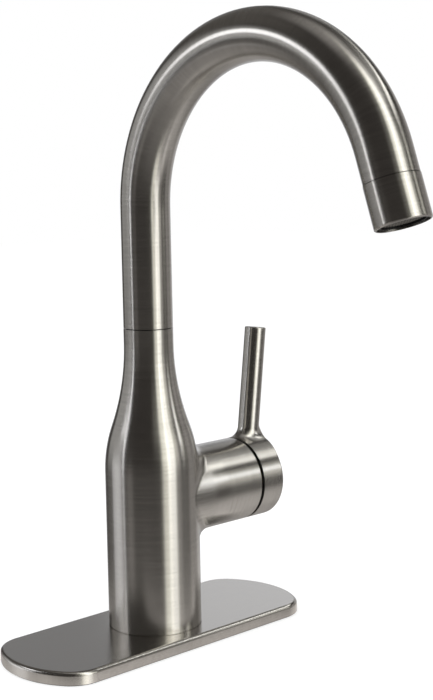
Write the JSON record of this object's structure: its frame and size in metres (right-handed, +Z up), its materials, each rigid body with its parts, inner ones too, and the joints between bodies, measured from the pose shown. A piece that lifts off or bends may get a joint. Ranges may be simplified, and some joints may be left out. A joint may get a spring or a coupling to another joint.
{
  "type": "gooseneck bar faucet",
  "caption": "Deck-mounted single-lever bar faucet with a bottle-shaped body, a swivelling gooseneck spout, a side lever and an oblong deck plate.",
  "frame": {"origin": "on the body's and spout's common axis, at the deck surface that the plate's gasket rests on", "axes": "+Z up along the body's axis, the spout reaches towards -Y at rest, the valve branch and handle point along +X, and the deck plate's length runs along X"},
  "size_m": [0.1744, 0.2122, 0.377],
  "materials": {
    "nickel_plate": "brushed nickel, grain along the plate",
    "nickel_body": "cast brass, brushed nickel plate, grain round each form",
    "nickel_tube": "brushed nickel, grain round the tube",
    "brass": "turned brass",
    "steel": "zinc-plated steel",
    "rubber": "black rubber",
    "black_plastic": "black moulded plastic",
    "white_plastic": "white low-friction plastic",
    "ceramic": "lapped ceramic",
    "foam": "black foam rubber"
  },
  "bodies": {
    "faucet_base": {"deck_plate": "nickel_plate", "deck_plate_base": "black_plastic", "deck_gasket": "foam", "faucet_body": "nickel_body", "body_seal": "rubber", "mounting_shank": "brass", "mounting_gasket": "rubber", "mounting_washer": "steel", "mounting_nut": "brass", "glide_ring": "black_plastic", "spout_clip": "steel", "port_seals": "rubber", "cartridge_base": "white_plastic", "fixed_disc": "ceramic", "cartridge_housing": "white_plastic", "cartridge_nut": "brass", "dome_cover": "black_plastic"},
    "spout": {"spout_tube": "nickel_tube", "spout_shank": "brass", "spout_seals": "rubber", "aerator_adapter": "brass", "aerator_housing": "nickel_body", "aerator_washer": "rubber", "aerator_insert": "black_plastic", "aerator_screen": "steel"},
    "temperature_rotor": {"stem_carrier": "white_plastic", "pivot_pin": "steel"},
    "flow_disc": {"moving_disc": "ceramic", "disc_driver": "white_plastic"},
    "lever_handle": {"stem": "brass", "handle": "nickel_body", "handle_screw": "steel"}
  },
  "joints": [
    {"name": "spout_swivel", "type": "hinge", "parent": "faucet_base", "child": "spout", "pos_m": [0, 0, 0.14], "axis": [0, 0, 1], "continuous": true},
    {"name": "temperature_turn", "type": "hinge", "parent": "faucet_base", "child": "temperature_rotor", "pos_m": [0.041, 0, 0.0719], "axis": [1, 0, 0], "range_deg": [-45, 45]},
    {"name": "flow_tilt", "type": "hinge", "parent": "temperature_rotor", "child": "lever_handle", "pos_m": [0.041, 0, 0.0719], "axis": [0, 1, 0], "range_deg": [0, 20]},
    {"name": "disc_slide", "type": "slide", "parent": "temperature_rotor", "child": "flow_disc", "axis": [0, 0, 1], "range_m": [0, 0.0027]}
  ],
  "couplings": [
    {"joint": "disc_slide", "follows": "flow_tilt", "m_per_rad": 0.0075}
  ]
}
